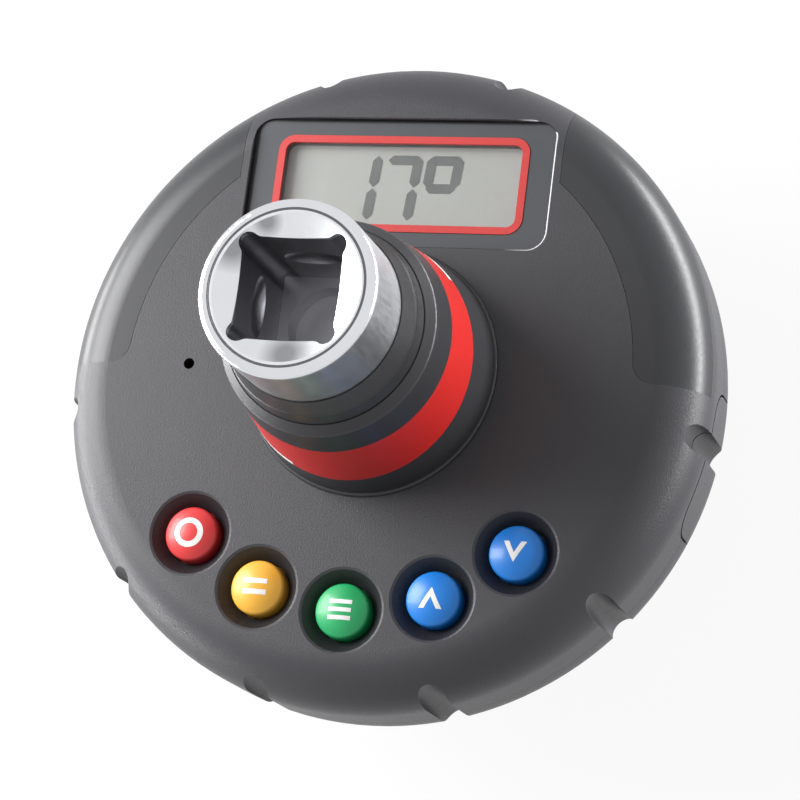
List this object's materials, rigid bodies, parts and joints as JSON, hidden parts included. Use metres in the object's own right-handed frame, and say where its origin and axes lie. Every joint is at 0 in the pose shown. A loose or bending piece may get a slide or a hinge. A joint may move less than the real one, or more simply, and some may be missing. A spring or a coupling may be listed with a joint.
{
  "type": "digital torque tester",
  "caption": "Hand-held digital torque and angle tester: a round battery-powered body with a display and push buttons on a square drive shaft.",
  "frame": {"origin": "centre of the end face of the male square", "axes": "+Z along the drive axis from the male square to the female square; +Y from the drive axis to the display"},
  "size_m": [0.0881, 0.088, 0.077],
  "materials": {
    "chromed_steel": "polished chrome plate on forged steel",
    "gasket_rubber": "soft black rubber",
    "pin_steel": "ground steel",
    "ring_steel": "oiled spring steel",
    "bush_plastic": "moulded bearing plastic",
    "seal_rubber": "glossy black rubber",
    "collar_plastic": "fine moulded texture",
    "band_plastic": "smooth red plastic",
    "trim_plastic": "smooth white plastic",
    "housing_plastic": "dark grey glass-filled plastic, fine texture",
    "bezel_plastic": "smooth dark grey plastic",
    "frame_plastic": "smooth red plastic",
    "lens_clear": "clear moulded window",
    "lcd_panel": "grey-green reflective display",
    "guide_plastic": "milky light guide",
    "contact_rubber": "zebra contact strip",
    "window_plastic": "smoked satin plastic",
    "board_laminate": "green laminate",
    "led_resin": "clear moulded resin",
    "chip_resin": "black moulded resin",
    "screw_steel": "zinc-plated steel",
    "switch_metal": "tinned sheet",
    "gauge_foil": "amber film over foil",
    "cell_can": "printed sleeve over a steel can",
    "spring_steel": "nickel-plated spring steel",
    "ball_steel": "polished bearing steel",
    "red_plastic": "glossy moulded plastic",
    "amber_plastic": "glossy moulded plastic",
    "green_plastic": "glossy moulded plastic",
    "blue_plastic": "glossy moulded plastic",
    "plunger_plastic": "black switch plunger"
  },
  "bodies": {
    "tester": {"torque_shaft": "chromed_steel", "flange_gasket": "gasket_rubber", "locating_pins": "pin_steel", "retaining_ring": "ring_steel", "upper_bush": "bush_plastic", "neck_seal": "seal_rubber", "neck_collar": "collar_plastic", "collar_nut": "bush_plastic", "neck_band": "band_plastic", "band_trim": "trim_plastic", "top_housing": "housing_plastic", "bottom_housing": "housing_plastic", "display_plate": "bezel_plastic", "display_frame": "frame_plastic", "display_lens": "lens_clear", "lcd_glass": "lcd_panel", "lcd_light_guide": "guide_plastic", "lcd_contact_strips": "contact_rubber", "light_window_left": "window_plastic", "light_window_right": "window_plastic", "main_board": "board_laminate", "signal_leds": "led_resin", "processor_chip": "chip_resin", "amplifier_chip": "chip_resin", "gyro_chip": "chip_resin", "buzzer": "chip_resin", "board_screws": "screw_steel", "switch_bases": "switch_metal", "strain_gauges": "gauge_foil", "gauge_flex": "gauge_foil", "battery_tray": "housing_plastic", "inner_cell": "cell_can", "outer_cell": "cell_can", "inner_cell_spring": "spring_steel", "outer_cell_spring": "spring_steel", "battery_contacts": "spring_steel", "housing_screws": "screw_steel"},
    "red_key": {"red_button": "red_plastic", "red_plunger": "plunger_plastic"},
    "amber_key": {"amber_button": "amber_plastic", "amber_plunger": "plunger_plastic"},
    "green_key": {"green_button": "green_plastic", "green_plunger": "plunger_plastic"},
    "blue_left_key": {"blue_left_button": "blue_plastic", "blue_left_plunger": "plunger_plastic"},
    "blue_right_key": {"blue_right_button": "blue_plastic", "blue_right_plunger": "plunger_plastic"},
    "door": {"battery_door": "housing_plastic"},
    "detent": {"detent_ball": "ball_steel", "detent_spring": "spring_steel"}
  },
  "joints": [
    {"name": "red_press", "type": "slide", "parent": "tester", "child": "red_key", "axis": [0, 0, -1], "range_m": [0, 0.0006], "stiffness_N_per_m": 500, "springref_m": -0.0002},
    {"name": "amber_press", "type": "slide", "parent": "tester", "child": "amber_key", "axis": [0, 0, -1], "range_m": [0, 0.0006], "stiffness_N_per_m": 500, "springref_m": -0.0002},
    {"name": "green_press", "type": "slide", "parent": "tester", "child": "green_key", "axis": [0, 0, -1], "range_m": [0, 0.0006], "stiffness_N_per_m": 500, "springref_m": -0.0002},
    {"name": "blue_left_press", "type": "slide", "parent": "tester", "child": "blue_left_key", "axis": [0, 0, -1], "range_m": [0, 0.0006], "stiffness_N_per_m": 500, "springref_m": -0.0002},
    {"name": "blue_right_press", "type": "slide", "parent": "tester", "child": "blue_right_key", "axis": [0, 0, -1], "range_m": [0, 0.0006], "stiffness_N_per_m": 500, "springref_m": -0.0002},
    {"name": "door_removal", "type": "slide", "parent": "tester", "child": "door", "axis": [0, 0, -1], "range_m": [0, 0.012]},
    {"name": "detent_press", "type": "slide", "parent": "tester", "child": "detent", "axis": [0, 1, 0], "range_m": [0, 0.0009], "stiffness_N_per_m": 1000, "springref_m": -0.0006}
  ]
}
